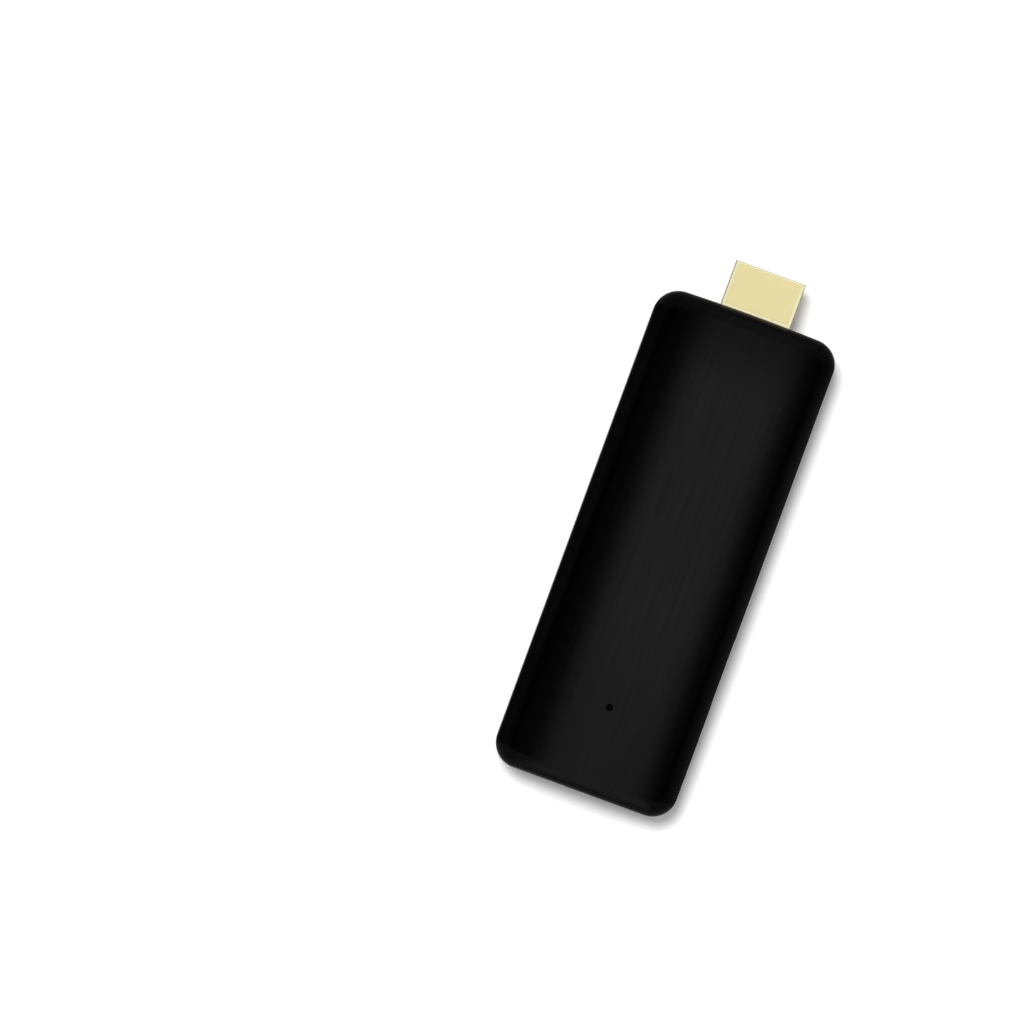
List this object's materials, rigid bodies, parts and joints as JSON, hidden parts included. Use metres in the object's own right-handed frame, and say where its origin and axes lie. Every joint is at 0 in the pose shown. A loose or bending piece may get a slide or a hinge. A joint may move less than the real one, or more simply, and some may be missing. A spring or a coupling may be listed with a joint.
{
  "type": "streaming stick",
  "caption": "Plug-in media streaming stick: black crowned case with a gold video plug on one end, data, power and card sockets in its sides.",
  "frame": {"origin": "the middle of the case's flat underside", "axes": "+Z out of the crowned upper face, +Y along the video plug and out of its tip, +X to the right when the upper face is seen with the plug upwards"},
  "size_m": [0.036, 0.104, 0.0126],
  "materials": {
    "case_plastic": "satin",
    "label_film": "matte",
    "circuit_board": "satin",
    "screw_steel": "plain",
    "plug_gold": "polished",
    "contact_gold": "polished",
    "connector_plastic": "matte",
    "socket_steel": "satin",
    "spring_steel": "satin",
    "chip_resin": "matte",
    "thermal_pad": "matte",
    "spreader_metal": "satin",
    "ferrite": "matte",
    "capacitor_ceramic": "matte",
    "antenna_ceramic": "matte",
    "light_pipe_resin": "gloss",
    "window_resin": "gloss",
    "lamp_resin": "gloss"
  },
  "bodies": {
    "stick": {"top_cover": "case_plastic", "bottom_cover": "case_plastic", "underside_label": "label_film", "main_board": "circuit_board", "board_screws": "screw_steel", "hdmi_plug_shell": "plug_gold", "hdmi_plug_insulator": "connector_plastic", "hdmi_plug_contacts": "contact_gold", "hdmi_plug_housing": "connector_plastic", "usb_socket_shell": "socket_steel", "usb_socket_tongue": "connector_plastic", "usb_socket_contacts": "contact_gold", "power_socket_shell": "socket_steel", "power_socket_tongue": "connector_plastic", "power_socket_contacts": "contact_gold", "card_socket_base": "connector_plastic", "card_socket_cover": "socket_steel", "card_socket_contacts": "contact_gold", "card_slider_spring": "spring_steel", "card_latch_pin": "spring_steel", "reset_switch_body": "connector_plastic", "reset_switch_dome": "spring_steel", "reset_switch_frame": "socket_steel", "status_light": "lamp_resin", "status_light_pipe": "light_pipe_resin", "infrared_window": "window_resin", "infrared_receiver": "chip_resin", "processor": "chip_resin", "memory_chips": "chip_resin", "flash_chip": "chip_resin", "thermal_pads": "thermal_pad", "heat_spreader": "spreader_metal", "clock_crystal": "socket_steel", "power_inductors": "ferrite", "voltage_regulators": "chip_resin", "capacitors": "capacitor_ceramic", "wifi_module": "circuit_board", "wifi_shield_can": "socket_steel", "wifi_antenna": "antenna_ceramic"},
    "card_ejector": {"card_slider": "connector_plastic"},
    "reset_button": {"reset_switch_button": "connector_plastic"}
  },
  "joints": [
    {"name": "card_push", "type": "slide", "parent": "stick", "child": "card_ejector", "axis": [1, 0, 0], "range_m": [0, 0.0026], "stiffness_N_per_m": 500, "springref_m": -0.0008, "deforming": ["card_slider_spring"]},
    {"name": "reset_press", "type": "slide", "parent": "stick", "child": "reset_button", "axis": [1, 0, 0], "range_m": [0, 0.00025], "stiffness_N_per_m": 4000, "springref_m": -0.00015, "deforming": ["reset_switch_dome"]}
  ]
}
